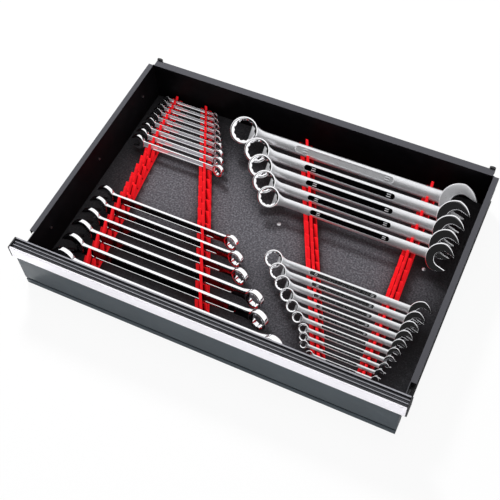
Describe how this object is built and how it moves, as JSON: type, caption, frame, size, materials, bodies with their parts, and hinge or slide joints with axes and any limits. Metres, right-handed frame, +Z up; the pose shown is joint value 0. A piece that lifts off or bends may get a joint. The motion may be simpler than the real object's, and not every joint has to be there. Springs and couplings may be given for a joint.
{
  "type": "wrench rack",
  "caption": "Shallow steel tool drawer with graduated toothed red rails that hold combination wrenches upright or on ramps, sorted by size.",
  "frame": {"origin": "on the plane the drawer stands on, under the middle of its bounding box", "axes": "+X to the right along the front, +Y towards the back, +Z up; the front faces -Y"},
  "size_m": [0.652, 0.4607, 0.0992],
  "materials": {
    "black_steel": "satin",
    "mat": "matte",
    "grey_paint": "satin",
    "handle_dark": "satin",
    "bright_trim": "brushed",
    "black_plastic": "matte",
    "slide_steel": "satin",
    "zinc": "satin",
    "red_plastic": "gloss",
    "polished": "polished",
    "satin": "satin"
  },
  "bodies": {
    "root": {"bumper_left": "black_plastic", "bumper_right": "black_plastic", "end_cap_left": "black_plastic", "end_cap_right": "black_plastic", "floor_studs": "zinc", "front_panel": "grey_paint", "liner": "mat", "pull_handle": "handle_dark", "rail_inner_left": "red_plastic", "rail_inner_right": "red_plastic", "rail_outer_left": "red_plastic", "rail_outer_right": "red_plastic", "slide_left": "slide_steel", "slide_right": "slide_steel", "slide_screws": "zinc", "tray": "black_steel", "trim_strip": "bright_trim", "wrench_large_1": "satin", "wrench_large_2": "satin", "wrench_large_3": "satin", "wrench_large_4": "satin", "wrench_large_5": "satin", "wrench_long_1": "polished", "wrench_long_2": "polished", "wrench_long_3": "polished", "wrench_long_4": "polished", "wrench_long_5": "polished", "wrench_long_6": "polished", "wrench_satin_1": "satin", "wrench_satin_10": "satin", "wrench_satin_2": "satin", "wrench_satin_3": "satin", "wrench_satin_4": "satin", "wrench_satin_5": "satin", "wrench_satin_6": "satin", "wrench_satin_7": "satin", "wrench_satin_8": "satin", "wrench_satin_9": "satin", "wrench_short_1": "polished", "wrench_short_2": "polished", "wrench_short_3": "polished", "wrench_short_4": "polished", "wrench_short_5": "polished", "wrench_short_6": "polished", "wrench_short_7": "polished", "wrench_short_8": "polished", "wrench_short_9": "polished"}
  },
  "joints": []
}
